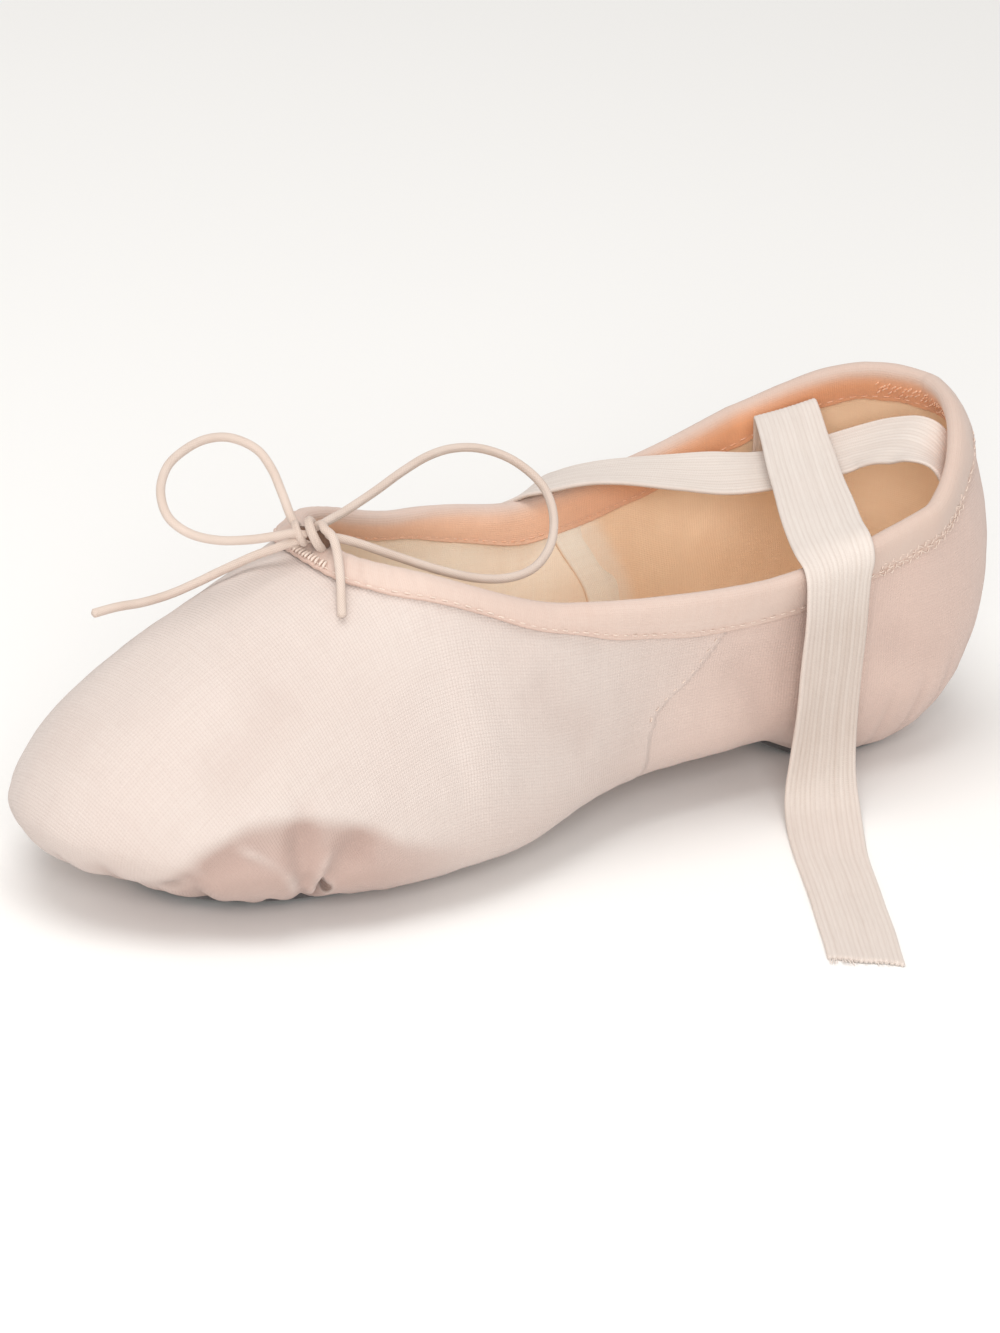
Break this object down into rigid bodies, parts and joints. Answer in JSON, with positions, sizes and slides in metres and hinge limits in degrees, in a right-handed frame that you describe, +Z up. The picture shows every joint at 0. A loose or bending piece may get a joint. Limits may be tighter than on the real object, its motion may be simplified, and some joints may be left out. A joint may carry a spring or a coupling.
{
  "type": "split-sole ballet slipper",
  "caption": "Soft canvas ballet slipper with a bound collar, a drawstring bow at the throat, split suede sole pads and loose elastic straps sewn inside the heel.",
  "frame": {"origin": "on the floor under the middle of the heel pad", "axes": "+Y towards the toe, +X to the shoe's right, +Z up from the floor"},
  "size_m": [0.1798, 0.23, 0.0824],
  "materials": {
    "pink_canvas": "matt woven cotton canvas",
    "pink_tape": "matt folded cotton tape",
    "grey_suede": "brushed suede",
    "peach_sock": "smooth glued lining",
    "cream_lining": "plain cotton lining",
    "pale_elastic": "ribbed woven elastic",
    "pale_cord": "thin round elastic cord"
  },
  "bodies": {
    "root": {"upper": "pink_canvas", "binding": "pink_tape", "sole_heel": "grey_suede", "sole_forefoot": "grey_suede", "insole_heel": "peach_sock", "insole_forefoot": "cream_lining", "strap_far": "pale_elastic", "strap_near": "pale_elastic", "lace_knot": "pale_cord", "lace_loop_left": "pale_cord", "lace_loop_right": "pale_cord", "lace_end_left": "pale_cord", "lace_end_down": "pale_cord"}
  },
  "joints": []
}
